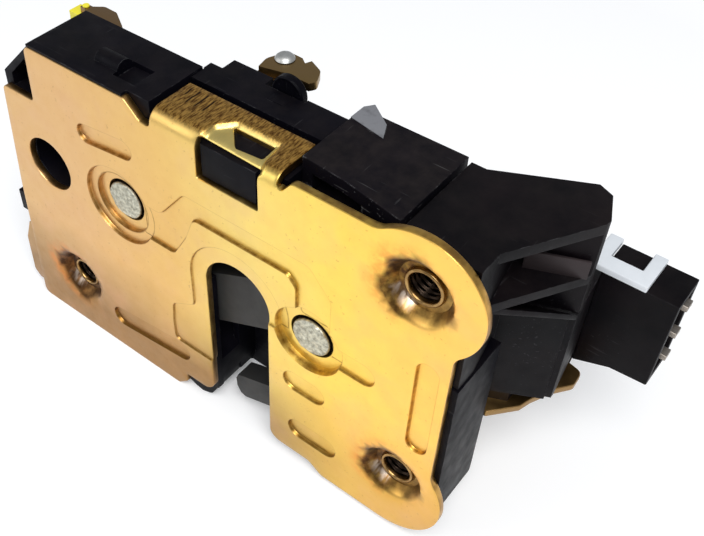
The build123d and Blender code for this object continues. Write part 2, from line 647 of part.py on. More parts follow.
with BuildPart() as rod_clip:
    block(-6.4, -2.4, lock_lever_y - 0.2, lock_lever_y + 2.6, lock_lever_z - 2.2, lock_lever_z - 0.02)
    column(clip_peg[0], lock_lever_y + clip_peg[1], clip_peg[2], lock_lever_z - 1, lock_lever_z + 1.6)
    column(clip_peg[0], lock_lever_y + clip_peg[1], clip_peg[2] + 0.25, lock_lever_z + 1.42, lock_lever_z + 1.7)
rod_clip.part.label = "rod_clip"
export_step(rod_clip.part, "parts/rod_clip.step")

# ---------------------------------------------------------------- drive housing

with BuildPart() as actuator_housing:
    with BuildSketch(level(12.0)):
        Polygon(*leg_plan, align=None)
    extrude(amount=25.0)
    with BuildSketch(across(50.0)):
        Polygon(*leg_side, align=None)
    extrude(amount=60.0, mode=Mode.INTERSECT)
    with BuildSketch(level(seam_z)):
        Polygon(*block_plan[:4], (84.2, 20.3), (73.2, 20.3), align=None)
    extrude(amount=top_z - seam_z)
    with BuildSketch(level(37.5)):
        Polygon(*block_plan[3:], align=None)
    extrude(amount=top_z - 37.5)
    block(88.0, 96.0, 14.0, 33.0, 11.0, 15.2, SUB)
    with BuildSketch(level(15.2)):
        Polygon((83.0, 15.7), (84.2, 16.0), (93.2, 20.6), (93.0, 21.8), (91.0, 26.4), (83.0, 24.0), align=None)
    extrude(amount=22.8)
    for z0, z1 in [(top_z - 1.9, top_z), (43.6, 45.3)]:
        with BuildSketch(level(z0)):
            Polygon(*wing_plan, align=None)
        extrude(amount=z1 - z0)
    rod(screw_pitch_x, upper_screw_z, 7.4, 1, 4.4, SUB)
    rod(screw_pitch_x, upper_screw_z, bush_r + 0.1, 4, bush_back_y + 0.2, SUB)
    block(58.0, 83.0, 16.0, 50.0, 13.8, 27.6, SUB)
    block(82.0, 87.2, 18.6, 44.0, 13.8, 27.6, SUB)
    block(82.0, 84.4, 18.6, 50.0, 13.8, 27.6, SUB)
    block(75.0, 84.0, 12.0, 18.6, 33.0, 53.3, SUB)
    for y in (18.0, 27.0):
        block(60.4, 70.8, y, y + 2.0, 13.7, motor_at[1] - motor_flat)
    for y in (39.2, 44.3):
        block(66.0, 87.3, y, y + 0.8, 25.9, 27.7)
    column(gear_at[0], gear_at[1], 3.2, 13.7, 17.0)
    column(gear_at[0], gear_at[1], axle_r + 0.04, 14.5, 20.0, SUB)
    for x, z in cover_screw_at:
        rod(x, z, 2.4, 44.5, cover_y)
        rod(x, z, cover_screw_r + 0.02, 45.0, cover_y + 1, SUB)
actuator_housing.part.label = "actuator_housing"
export_step(actuator_housing.part, "parts/actuator_housing.step")

with BuildPart() as actuator_cover:
    block(56.0, 86.0, cover_y + 0.1, cover_y + 0.1 + cover_t, 12.0, 28.0)
    block(64.0, 80.0, cover_y + cover_t, cover_y + cover_t + 0.8, 17.0, 25.0)
    for x, z in cover_screw_at:
        rod(x, z, cover_screw_r + 0.1, cover_y - 1, cover_y + 5, SUB)
actuator_cover.part.label = "actuator_cover"
export_step(actuator_cover.part, "parts/actuator_cover.step")

with BuildPart() as cover_screws:
    for x, z in cover_screw_at:
        rod(x, z, cover_screw_r, 45.1, cover_y + cover_t + 0.2)
        rod(x, z, 2.4, cover_y + 0.1 + cover_t, cover_y + cover_t + 1.5)
cover_screws.part.label = "cover_screws"
export_step(cover_screws.part, "parts/cover_screws.step")

with BuildPart() as lower_bracket:
    with BuildSketch(level(10.5)) as bracket_plan:
        Polygon((62.0, 15.0), (86.4, 14.8), (90.2, 19.4), (90.9, 21.8), (92.6, 25.6), (95.2, 29.2), (95.0, 32.6),
                (91.0, 33.5), (86.0, 40.0), (62.0, 40.0), align=None)
        fillet(near(bracket_plan, 95.2, 29.2), 1.4)
        fillet(near(bracket_plan, 95.0, 32.6), 1.4)
    extrude(amount=1.5)
lower_bracket.part.label = "lower_bracket"
export_step(lower_bracket.part, "parts/lower_bracket.step")

# ---------------------------------------------------------------- drive

with BuildPart() as motor_case:
    rod(motor_at[0], motor_at[1], motor_r, motor_y[0], motor_y[1])
    block(50, 90, 10, 60, motor_at[1] + motor_flat, 40, SUB)
    block(50, 90, 10, 60, 0, motor_at[1] - motor_flat, SUB)
    rod(motor_at[0], motor_at[1], 3.0, motor_y[1] - 0.1, motor_y[1] + 0.9)
    rod(motor_at[0], motor_at[1], shaft_r + 0.04, motor_y[1] - 8, motor_y[1] + 2, SUB)
motor_case.part.label = "motor_case"
export_step(motor_case.part, "parts/motor_case.step")

with BuildPart() as motor_worm:
    rod(motor_at[0], motor_at[1], shaft_r, motor_y[1] - 7.5, gear_at[1] + 6.5)
    rod(motor_at[0], motor_at[1], worm_r - worm_tooth, motor_y[1] + 1.1, gear_at[1] + 5.0)
motor_worm.part.label = "motor_worm"
export_step(motor_worm.part, "parts/motor_worm.step")

with BuildPart() as drive_gear:
    with BuildSketch(level(motor_at[1] - gear_t / 2)):
        with Locations(gear_at):
            Circle(gear_r)
            with PolarLocations(gear_r, gear_teeth):
                Circle(gear_gap_r, mode=SUB)
    extrude(amount=gear_t)
    column(gear_at[0], gear_at[1], axle_r, 14.6, motor_at[1])
    column(gear_at[0] + crank_r * sin(radians(gear_travel / 2)), gear_at[1] + crank_r * cos(radians(gear_travel / 2)),
           crank_pin_r, motor_at[1], 26.4)
drive_gear.part.label = "drive_gear"
export_step(drive_gear.part, "parts/drive_gear.step")

with BuildPart() as lock_slider:
    rest = (gear_at[0] + crank_r * sin(radians(gear_travel / 2)), gear_at[1] + crank_r * cos(radians(gear_travel / 2)))
    with BuildSketch(level(23.6)):
        with Locations((rest[0], rest[1] + 0.4)):
            Rectangle(6.4, 6.0)
        with Locations((rest[0], rest[1] + 0.4)):
            Rectangle(2 * crank_pin_r + 0.5, 4.4, mode=SUB)
    extrude(amount=2.2)
lock_slider.part.label = "lock_slider"
export_step(lock_slider.part, "parts/lock_slider.step")

with BuildPart() as contact_carrier:
    block(75.6, 86.8, 19.0, 28.4, 13.8, 15.3)
    block(84.6, 86.8, 28.2, 43.6, 13.8, 15.3)
contact_carrier.part.label = "contact_carrier"
export_step(contact_carrier.part, "parts/contact_carrier.step")

# ---------------------------------------------------------------- connector

with BuildPart() as connector_shell:
    with BuildSketch(at(34.0)):
        Polygon((92.2, 12.1), (98.6, 14.6), (105.1, 15.0), (105.1, 34.3), (92.2, 34.3), align=None)
    extrude(amount=8.0, dir=INWARD)
    block(96.5, 106, 35.4, 40.8, 16.5, 32.9, SUB)
    for z in terminal_z:
        block(95.0, 97.0, 37.8, 39.9, z - 0.6, z + 0.6, SUB)
connector_shell.part.label = "connector_shell"
export_step(connector_shell.part, "parts/connector_shell.step")

with BuildPart() as connector_lock:
    with BuildSketch(level(34.3)):
        Polygon((89.9, 33.6), (99.8, 33.6), (99.8, 41.7), (97.6, 41.7), (97.6, 36.8), (92.2, 36.8), (92.2, 41.7),
                (89.9, 41.7), align=None)
    extrude(amount=1.3)
connector_lock.part.label = "connector_lock"
export_step(connector_lock.part, "parts/connector_lock.step")

with BuildPart() as connector_terminals:
    for z in terminal_z:
        block(95.0, 105.8, 37.8, 39.9, z - 0.6, z + 0.6)
connector_terminals.part.label = "connector_terminals"
export_step(connector_terminals.part, "parts/connector_terminals.step")
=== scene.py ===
"""Looks, light and camera for the door latch actuator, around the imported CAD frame.

Shapes below are written in millimetres: x along the plate, y from the plate's front into the latch, z up.
"""

import json
from math import atan2, cos, hypot, pi, radians, sin, tan

import bmesh
import bpy
import numpy as np
from mathutils import Matrix, Vector, noise
from mathutils.geometry import delaunay_2d_cdt


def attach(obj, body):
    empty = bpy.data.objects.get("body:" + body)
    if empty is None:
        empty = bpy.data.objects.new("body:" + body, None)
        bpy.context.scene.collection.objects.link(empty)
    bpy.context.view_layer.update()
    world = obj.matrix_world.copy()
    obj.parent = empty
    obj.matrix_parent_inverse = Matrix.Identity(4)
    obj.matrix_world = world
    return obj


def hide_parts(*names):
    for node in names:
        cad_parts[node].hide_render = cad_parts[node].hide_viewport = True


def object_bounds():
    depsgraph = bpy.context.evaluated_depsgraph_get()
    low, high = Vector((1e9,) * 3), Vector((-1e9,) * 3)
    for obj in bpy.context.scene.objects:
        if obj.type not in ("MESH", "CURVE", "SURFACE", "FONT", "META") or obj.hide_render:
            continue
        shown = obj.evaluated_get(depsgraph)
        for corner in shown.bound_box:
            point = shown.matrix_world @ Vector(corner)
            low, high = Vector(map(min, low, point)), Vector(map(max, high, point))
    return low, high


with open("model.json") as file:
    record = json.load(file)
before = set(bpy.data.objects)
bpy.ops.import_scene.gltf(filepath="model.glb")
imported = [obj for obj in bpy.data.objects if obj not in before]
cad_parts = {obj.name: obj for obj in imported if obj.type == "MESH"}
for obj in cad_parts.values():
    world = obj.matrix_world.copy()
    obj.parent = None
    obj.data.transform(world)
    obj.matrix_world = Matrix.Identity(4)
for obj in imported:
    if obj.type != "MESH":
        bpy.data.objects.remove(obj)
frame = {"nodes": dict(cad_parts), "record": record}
cad_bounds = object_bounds()
NODES = frame["nodes"]
MM = 0.001
PLATE_FRONT = -2.4
SHARP = 32  # degrees between faces from which an edge is shown sharp
WELD = 2e-6  # metres within which points of a copied mesh are one
BODY_OF = {n: b for b, ns in frame["record"]["behaviour"]["bodies"].items() for n in ns}


def metres(x, y, z):
    return Vector((x, y + PLATE_FRONT, z)) * MM


# ------------------------------------------------------------------ materials


class Shader:
    """One node material: a Principled shader and short calls for the nodes that feed it."""

    def __init__(self, name):
        self.material = bpy.data.materials.new(name)
        self.material.use_nodes = True
        self.tree = self.material.node_tree
        self.tree.nodes.clear()
        out = self.node("OutputMaterial")
        self.bsdf = self.node("BsdfPrincipled")
        self.tree.links.new(self.bsdf.outputs[0], out.inputs[0])
        coords = self.node("TexCoord")
        self.place = coords.outputs["Object"]
        self.normal = coords.outputs["Normal"]

    def node(self, kind, **settings):
        made = self.tree.nodes.new("ShaderNode" + kind)
        for key, value in settings.items():
            setattr(made, key, value)
        return made

    def put(self, socket, value):
        if isinstance(value, bpy.types.NodeSocket):
            self.tree.links.new(value, socket)
        else:
            socket.default_value = value

    def set(self, **inputs):
        for key, value in inputs.items():
            self.put(self.bsdf.inputs[key.replace("_", " ")], value)
        return self

    def scaled(self, x, y, z, vector=None):
        mapping = self.node("Mapping")
        self.put(mapping.inputs["Vector"], vector or self.place)
        mapping.inputs["Scale"].default_value = (x, y, z)
        return mapping.outputs[0]

    def noise(self, scale, detail=3.0, rough=0.55, vector=None):
        made = self.node("TexNoise")
        self.put(made.inputs["Vector"], vector or self.place)
        made.inputs["Scale"].default_value = scale
        made.inputs["Detail"].default_value = detail
        made.inputs["Roughness"].default_value = rough
        return made.outputs[0]

    def ramp(self, factor, *stops):
        made = self.node("ValToRGB")
        self.put(made.inputs[0], factor)
        items = made.color_ramp.elements
        for k, (at, value) in enumerate(stops):
            item = items[k] if k < 2 else items.new(at)
            item.position = at
            item.color = tuple(value) + (1,) if isinstance(value, tuple) else (value, value, value, 1)
        return made.outputs[0]

    def span(self, value, low, high, to_low=0.0, to_high=1.0):
        made = self.node("MapRange")
        names = ("Value", "From Min", "From Max", "To Min", "To Max")
        for key, number in zip(names, (value, low, high, to_low, to_high)):
            self.put(made.inputs[key], number)
        return made.outputs[0]

    def maths(self, operation, a, b=0.0):
        made = self.node("Math", operation=operation)
        self.put(made.inputs[0], a)
        self.put(made.inputs[1], b)
        return made.outputs[0]

    def times(self, a, b):
        return self.maths("MULTIPLY", a, b)

    def mix(self, factor, a, b):
        made = self.node("MixRGB", blend_type="MIX")
        self.put(made.inputs[0], factor)
        for socket, value in zip(made.inputs[1:3], (a, b)):
            self.put(socket, tuple(value) + (1,) if isinstance(value, tuple) else value)
        return made.outputs[0]

    def axis(self, which, vector=None):
        made = self.node("SeparateXYZ")
        self.put(made.inputs[0], vector or self.place)
        return made.outputs["XYZ".index(which)]

    def layer(self, name):
        return self.node("Attribute", attribute_name=name).outputs["Fac"]

    def edge(self, radius, low, high):
        """1 on convex and concave edges, 0 on flat faces."""
        made = self.node("Bevel", samples=6)
        made.inputs["Radius"].default_value = radius * MM
        dot = self.node("VectorMath", operation="DOT_PRODUCT")
        self.put(dot.inputs[0], made.outputs[0])
        self.put(dot.inputs[1], self.node("NewGeometry").outputs["Normal"])
        return self.span(self.maths("SUBTRACT", 1.0, dot.outputs["Value"]), low, high)

    def relief(self, *layers):
        """Bumps, each (height, strength, depth in mm), one over the other."""
        last = None
        for height, strength, depth in layers:
            made = self.node("Bump")
            made.inputs["Strength"].default_value = strength
            made.inputs["Distance"].default_value = depth * MM
            self.put(made.inputs["Height"], height)
            if last:
                self.put(made.inputs["Normal"], last)
            last = made.outputs[0]
        self.put(self.bsdf.inputs["Normal"], last)
        return self


def srgb(r, g, b):
    return tuple((c / 255 / 12.92 if c <= 10 else ((c / 255 + 0.055) / 1.055) ** 2.4) for c in (r, g, b))


GROOVE_START, GROOVE_PITCH = 0.0290, 0.00085  # tool marks across the left of the flange


def zinc(name, flange=False, bronze_tone_and_shade=0.0):
    """Yellow chromate over zinc: warm drifts of colour that also carry painted reflected shade, fine peel, dark
    bronze in stains, and painted shade low down, in creases and round the dimples.

    With flange it also reads the face plate's own layers, painted highlights and shade among them; the last argument
    takes it towards bronze, which is the levers' own colour and painted shade on the lower bracket. Distances are in
    metres.
    """
    s = Shader(name)
    x, z = s.axis("X"), s.axis("Z")
    # Drifts of colour along x that also carry painted reflected shade: duller on the left, brighter towards the
    # right.
    across = s.ramp(
        s.span(s.maths("ADD", x, s.times(s.noise(45, 2), 0.012)), -0.012, 0.098),
        (0.0, srgb(220, 180, 124)), (0.22, srgb(222, 180, 124)), (0.42, srgb(228, 188, 112)),
        (0.58, srgb(238, 212, 124)), (0.76, srgb(255, 216, 100)), (1.0, srgb(255, 200, 106)),
    )
    # Painted shade: darker bronze towards the bottom of the plate, heavier on the left.
    low = s.span(s.maths("ADD", z, s.times(s.noise(60, 2), 0.012)), 0.021, 0.001)
    colour = s.mix(s.times(low, s.span(x, 0.045, 0.070, 0.95, 0.45)), across, srgb(150, 114, 68))
    blot = s.ramp(s.noise(260, 4, 0.6), (0.38, 0.0), (0.72, 1.0))
    colour = s.mix(s.times(blot, 0.16), colour, srgb(206, 154, 92))
    pink = s.ramp(s.noise(120, 3, 0.5), (0.5, 0.0), (0.75, 1.0))
    colour = s.mix(s.times(pink, 0.16), colour, srgb(210, 160, 146))
    specks = s.ramp(s.noise(1500, 2, 0.5), (0.68, 0.0), (0.75, 1.0))
    colour = s.mix(s.times(specks, 0.3), colour, srgb(150, 104, 56))
    rough = s.span(s.noise(380, 4, 0.6), 0.3, 0.7, 0.30, 0.44)
    if flange:
        # The flange's top is painted a darker bronze as reflected shade, with streaks of grain through it.
        grain = s.noise(1.0, 3, 0.65, s.scaled(3000, 620, 3000))
        streak = s.ramp(grain, (0.38, 0.0), (0.60, 1.0))
        top = s.layer("flange")
        bronze = s.mix(streak, srgb(112, 72, 28), srgb(222, 172, 88))
        colour = s.mix(top, colour, bronze)
        waver = s.times(s.maths("SUBTRACT", s.noise(240, 2), 0.5), 0.0009)
        beat = s.maths("PINGPONG", s.maths("ADD", x, s.maths("ADD", waver, -GROOVE_START)), GROOVE_PITCH)
        y = s.axis("Y")
        patch = s.times(s.times(s.span(x, 0.0352, 0.0346), s.span(x, 0.0284, GROOVE_START)),
                        s.times(s.span(y, 0.0026, 0.0032), s.span(y, 0.0071, 0.0063)))
        broken = s.noise(1.0, 1, 0.4, s.scaled(400, 300, 1))
        gouge = s.times(s.span(beat, 0.00026, 0.00008), s.span(broken, 0.38, 0.52))
        colour = s.mix(s.times(s.times(gouge, patch), top), colour, srgb(52, 30, 14))
        # Painted highlight over the sunk tongue behind the flange's slot.
        tongue_highlight = s.layer("tongue_highlight")
        colour = s.mix(s.times(tongue_highlight, 0.9), colour, srgb(250, 226, 140))
        halo = s.times(s.layer("halo"), s.span(s.noise(500, 3), 0.3, 0.6))
        colour = s.mix(s.times(halo, 0.6), colour, srgb(222, 136, 62))
        # Painted shade in and round each dimple, mottled.
        dimple_shade = s.times(s.layer("dimple_shade"), s.span(s.noise(700, 4, 0.6), 0.25, 0.6, 0.7, 1.0))
        colour = s.mix(dimple_shade, colour, srgb(60, 37, 20))
        # Painted highlight: a hatched silver glint on the lower-left wall of each dimple.
        flecks = s.noise(1.0, 1, 0.4, s.scaled(1500, 90, 500))
        glint = s.times(s.layer("glint"), s.ramp(flecks, (0.4, 0.1), (0.56, 1.0)))
        colour = s.mix(glint, colour, srgb(190, 174, 158))
        # Painted shade along the walls of the pressed recesses, mottled.
        recess_shade = s.times(s.layer("recess_shade"), s.span(s.noise(900, 3), 0.3, 0.62, 0.55, 1.0))
        colour = s.mix(recess_shade, colour, srgb(128, 90, 32))
        # Painted shade on the sheet's cut edges.
        rim = s.times(s.layer("rim"), s.span(s.noise(420, 3), 0.35, 0.6, 0.5, 1.0))
        colour = s.mix(s.times(rim, 0.85), colour, srgb(140, 102, 54))
    else:
        worn = s.edge(0.35, 0.02, 0.16)
        colour = s.mix(s.times(worn, 0.6), colour, srgb(150, 108, 54))
    if bronze_tone_and_shade:
        colour = s.mix(bronze_tone_and_shade, colour, srgb(126, 100, 68))
    s.set(Base_Color=colour, Roughness=rough, Metallic=1.0)
    s.relief((s.noise(420, 3, 0.5), 0.10, 0.30), (s.noise(3200, 2, 0.5), 0.10, 0.05))
    return s.material


def steel(name, low, high, rough=(0.25, 0.42), grain=(900, 900, 900), depth=0.05, strength=0.25,
          painted_shade_behind=None):
    """Bare metal with a grain and faint stains, painted darker as shade from a given depth behind on."""
    s = Shader(name)
    field = s.noise(1.0, 5, 0.6, s.scaled(*grain))
    colour = s.ramp(field, (0.32, low), (0.68, high))
    stain = s.ramp(s.noise(350, 3), (0.55, 0.0), (0.75, 1.0))
    colour = s.mix(s.times(stain, 0.30), colour, srgb(120, 104, 82))
    if painted_shade_behind is not None:
        # painted shade deep in holes, behind the given depth
        colour = s.mix(s.span(s.axis("Y"), painted_shade_behind, painted_shade_behind + 0.0003), colour, srgb(40, 32, 26))
    s.set(Base_Color=colour, Metallic=1.0, Roughness=s.span(field, 0.3, 0.7, rough[1], rough[0]))
    s.relief((field, strength, depth))
    return s.material


def plastic(name, dark, light, rough=(0.34, 0.5), wear=srgb(96, 96, 98), worn=0.5, dust=0.0, specular=0.35,
            grain=0.12, pale_above=None):
    """Moulded plastic: a fine eroded grain, drifts of tone, hair scratches and pale worn edges.

    What lies above the height pale_above is scuffed pale.
    """
    s = Shader(name)
    tone = s.noise(90, 4, 0.55)
    colour = s.ramp(tone, (0.35, dark), (0.68, light))
    hair = s.ramp(s.noise(1.0, 2, 0.4, s.scaled(110, 2600, 2600)), (0.70, 0.0), (0.72, 1.0))
    cross = s.ramp(s.noise(1.0, 2, 0.4, s.scaled(2400, 150, 2400)), (0.71, 0.0), (0.73, 1.0))
    marks = s.times(s.maths("MAXIMUM", hair, cross), s.ramp(s.noise(70, 2), (0.45, 0.0), (0.62, 1.0)))
    colour = s.mix(s.times(marks, worn * 0.4), colour, wear)
    if dust:
        up = s.span(s.axis("Z", s.normal), 0.6, 0.95)
        drift = s.ramp(s.noise(240, 5, 0.65), (0.38, 0.15), (0.70, 1.0))
        colour = s.mix(s.times(s.times(up, drift), dust), colour, srgb(66, 58, 54))
    if pale_above is not None:
        above = s.span(s.axis("Z"), pale_above, pale_above + 0.0003)
        scuffed = s.times(above, s.span(s.noise(500, 3), 0.25, 0.5, 0.6, 1.0))
        colour = s.mix(scuffed, colour, srgb(196, 198, 204))
    rub = s.times(s.edge(0.30, 0.03, 0.20), s.ramp(s.noise(420, 4, 0.6), (0.50, 0.0), (0.66, 1.0)))
    colour = s.mix(s.times(rub, worn), colour, wear)
    dullness = s.span(s.noise(300, 4), 0.3, 0.7, rough[0], rough[1])
    s.set(Base_Color=colour, Roughness=dullness, Specular_IOR_Level=specular)
    s.relief((s.noise(150, 2), 0.10, 0.20), (s.noise(3600, 2, 0.5), grain, 0.05))
    return s.material


PLATE = zinc("zinc_yellow_plate", flange=True)
ZINC = zinc("zinc_yellow")
# Bronze-toned zinc: the levers' own colour, and on the lower bracket painted shade.
BRONZE_AND_SHADE = zinc("zinc_bronze_and_shade", bronze_tone_and_shade=0.85)
STEEL = steel("bright_steel", srgb(150, 148, 140), srgb(206, 204, 196))
# The rivet's sides down in the plate's hole are painted darker as shade.
STAKED = steel("staked_steel", srgb(150, 148, 134), srgb(218, 216, 198), (0.40, 0.6), (1500, 1500, 1500), 0.16, 0.6,
               painted_shade_behind=-0.0011)
# The thread is painted darker deeper in the hole, as shade.
THREAD = steel("thread_steel", srgb(110, 82, 46), srgb(178, 144, 92), (0.22, 0.36), (500, 3000, 500), 0.03, 0.2,
               painted_shade_behind=0.0004)
HARD = steel("hardened_steel", srgb(84, 82, 78), srgb(120, 118, 114), (0.3, 0.5), (600, 2400, 600))
SPRING = steel("spring_steel", srgb(110, 110, 112), srgb(150, 150, 152), (0.22, 0.36))
TIN = steel("terminal_tin", srgb(150, 140, 130), srgb(184, 176, 166), (0.34, 0.52), (400, 2400, 2400))
BLACK = plastic("black_plastic", srgb(5, 5, 10), srgb(12, 11, 18), dust=0.10, specular=0.06)
DUSTY = plastic("black_plastic_dusty", srgb(8, 7, 12), srgb(17, 14, 20), (0.44, 0.6), srgb(140, 140, 140), 0.8,
                dust=0.22, specular=0.08, grain=0.25, pale_above=0.0562)
DRIVE = plastic("black_plastic_drive", srgb(6, 5, 8), srgb(17, 12, 15), (0.40, 0.54), worn=0.4, dust=0.10,
                specular=0.09)
GREY = plastic("grey_black_plastic", srgb(38, 38, 38), srgb(50, 50, 49), (0.45, 0.6), worn=0.2, specular=0.25)
# The housing's black plastic, painted lighter and browner as lit, for the wing's panel.
PAINTED_LIT_BLACK = plastic("black_plastic_painted_lit", srgb(42, 36, 37), srgb(54, 46, 47), (0.45, 0.6), worn=0.3, specular=0.2)
DOME = steel("rivet_dome", srgb(186, 186, 182), srgb(224, 224, 220), (0.35, 0.5))
WHITE = plastic("white_plastic", srgb(214, 219, 224), srgb(230, 234, 238), (0.3, 0.45), srgb(200, 202, 204), 0.2,
                specular=0.4)
YELLOW = plastic("yellow_plastic", srgb(236, 222, 40), srgb(250, 240, 70), (0.3, 0.45), srgb(200, 186, 60), 0.4,
                 specular=0.5)
NATURAL = plastic("natural_plastic", srgb(206, 200, 182), srgb(226, 220, 202), (0.35, 0.5), srgb(180, 172, 150), 0.3,
                  specular=0.5)
RUBBER = plastic("black_rubber", srgb(26, 26, 26), srgb(40, 40, 40), (0.7, 0.85), srgb(70, 70, 70), 0.3,
                 specular=0.25)

# ------------------------------------------------------------------ making pieces


def piece(name, verts, faces, material, body, sharp=SHARP, in_metres=False):
    """A visible mesh that rides on a body and stands under one of its material slots."""
    mesh = bpy.data.meshes.new(name)
    mesh.from_pydata(verts if in_metres else [metres(*v) for v in verts], [], faces)
    mesh.validate()
    obj = bpy.data.objects.new(name, mesh)
    bpy.context.scene.collection.objects.link(obj)
    shade(obj, sharp)
    mesh.materials.append(material)
    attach(obj, body)
    return obj


def shade(obj, sharp):
    """Smooth faces with sharp edges above an angle, normals outwards."""
    bm = bmesh.new()
    bm.from_mesh(obj.data)
    bmesh.ops.recalc_face_normals(bm, faces=bm.faces)
    for f in bm.faces:
        f.smooth = True
    for e in bm.edges:
        e.smooth = len(e.link_faces) == 2 and e.calc_face_angle(0) < radians(sharp)
    bm.to_mesh(obj.data)
    bm.free()


def rounded_copy(node, material, width):
    """A copy of a CAD node with its edges rounded, which stands for it."""
    bm = bmesh.new()
    bm.from_mesh(NODES[node].data)
    bmesh.ops.remove_doubles(bm, verts=bm.verts, dist=WELD)
    bmesh.ops.dissolve_limit(bm, angle_limit=radians(0.6), verts=bm.verts, edges=bm.edges)
    bmesh.ops.remove_doubles(bm, verts=bm.verts, dist=WELD)
    verts = [v.co.copy() for v in bm.verts]
    bm.verts.index_update()
    faces = [[v.index for v in f.verts] for f in bm.faces]
    bm.free()
    obj = piece(node + "_shown", verts, faces, material, BODY_OF[node], SHARP, True)
    bevel = obj.modifiers.new("edges", "BEVEL")
    bevel.width = width * MM
    bevel.segments = 3
    bevel.limit_method = "ANGLE"
    bevel.angle_limit = radians(SHARP + 2)
    bevel.use_clamp_overlap = True
    bevel.profile = 0.62
    apply(obj)
    shade(obj, SHARP)
    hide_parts(node)


def apply(obj):
    """Gives an object the mesh that its modifiers make."""
    bpy.context.view_layer.update()
    made = bpy.data.meshes.new_from_object(obj.evaluated_get(bpy.context.evaluated_depsgraph_get()))
    old, made.name = obj.data, obj.data.name
    obj.modifiers.clear()
    obj.data = made
    if old.materials and not made.materials:
        made.materials.append(old.materials[0])


def lathe(name, profile, centre, material, body, turns, warp=None, sharp=SHARP, upright=False):
    """Turns a closed profile of (radius, depth) points about an axis along Y, or along Z where upright.

    warp takes a point's number, radius, depth and angle and gives what to add to the radius and the depth.
    """
    cx, cz = centre
    verts, faces = [], []
    for k in range(turns):
        a = 2 * pi * k / turns
        for j, (r, y) in enumerate(profile):
            dr, dy = warp(j, r, y, a) if warp else (0, 0)
            r2, y2 = r + dr, y + dy
            if upright:
                verts.append((cx + r2 * cos(a), cz + r2 * sin(a), y2))
            else:
                verts.append((cx + r2 * cos(a), y2, cz + r2 * sin(a)))
    n = len(profile)
    for k in range(turns):
        k2 = (k + 1) % turns
        for j in range(n):
            j2 = (j + 1) % n
            faces.append([k * n + j, k * n + j2, k2 * n + j2, k2 * n + j])
    obj = piece(name, verts, faces, material, body, sharp)
    bm = bmesh.new()
    bm.from_mesh(obj.data)
    bmesh.ops.remove_doubles(bm, verts=bm.verts, dist=1e-6)
    bmesh.ops.dissolve_degenerate(bm, edges=bm.edges, dist=1e-7)
    bm.to_mesh(obj.data)
    bm.free()
    shade(obj, sharp)
    return obj


# ------------------------------------------------------------------ face plate: outline and embossing, unfolded

# Along the sheet s runs up the front as z does, then on round the bend and back along the flange.
BEND_Z, BEND_R, SHEET, FLANGE_REACH = 52.2, 2.8, 1.5, 9.8
BEND_END = BEND_Z + BEND_R * pi / 2
FLANGE_END = BEND_END + FLANGE_REACH - BEND_R
FOLD_X = (27.2, 53.3)
SCREWS = [(0.0, 0.0), (78.0, 2.0), (78.0, 47.0)]
CLAW, PAWL = (59.4, 23.5), (17.3, 30.0)


def arc(cx, cz, r, a0, a1, step=0.35):
    """Points on a circle from angle a0 to a1, in degrees."""
    n = max(3, int(abs(a1 - a0) * pi / 180 * r / step))
    angles = [radians(a0 + (a1 - a0) * k / n) for k in range(n + 1)]
    return [(cx + r * cos(a), cz + r * sin(a)) for a in angles]


def rounded(corners, step=0.45):
    """A closed outline from (x, s, radius) corners, its runs divided to the step."""
    corners = [c for c, last in zip(corners, corners[-1:] + corners) if hypot(c[0] - last[0], c[1] - last[1]) > 1e-3]
    out, n = [], len(corners)
    for k, (x, s, r) in enumerate(corners):
        p = Vector((x, s))
        before, after = Vector(corners[k - 1][:2]), Vector(corners[(k + 1) % n][:2])
        u, v = (before - p).normalized(), (after - p).normalized()
        turn = u.angle(v)
        if r <= 0 or turn > radians(178):
            out.append((x, s))
            continue
        reach = min(r / tan(turn / 2), 0.48 * (before - p).length, 0.48 * (after - p).length)
        r = reach * tan(turn / 2)
        middle = p + (u + v).normalized() * (r / sin(turn / 2))
        first, last = p + u * reach - middle, p + v * reach - middle
        a0, a1 = atan2(first.y, first.x), atan2(last.y, last.x)
        d = (a1 - a0 + pi) % (2 * pi) - pi
        m = max(3, int(abs(d) * r / (step * 0.6)))
        out += [(middle.x + r * cos(a0 + d * j / m), middle.y + r * sin(a0 + d * j / m)) for j in range(m + 1)]
    divided = []
    for k, a in enumerate(out):
        b = out[(k + 1) % len(out)]
        m = max(1, int(hypot(b[0] - a[0], b[1] - a[1]) / step))
        divided += [(a[0] + (b[0] - a[0]) * j / m, a[1] + (b[1] - a[1]) * j / m) for j in range(m)]
    return divided


def bare(points):
    """Points as corners without a radius."""
    return [(x, s, 0) for x, s in points]


def circle(cx, cz, r, step=0.4):
    return arc(cx, cz, r, 0, 360, step)[:-1]


def stadium(cx, cz, length, width, turn=0.0, step=0.4):
    """A slot with round ends, turned by some degrees."""
    half = (length - width) / 2
    c, s = cos(radians(turn)), sin(radians(turn))
    loop = arc(half, 0, width / 2, -90, 90, step) + arc(-half, 0, width / 2, 90, 270, step)
    return rounded(bare([(cx + x * c - z * s, cz + x * s + z * c) for x, z in loop]), step)


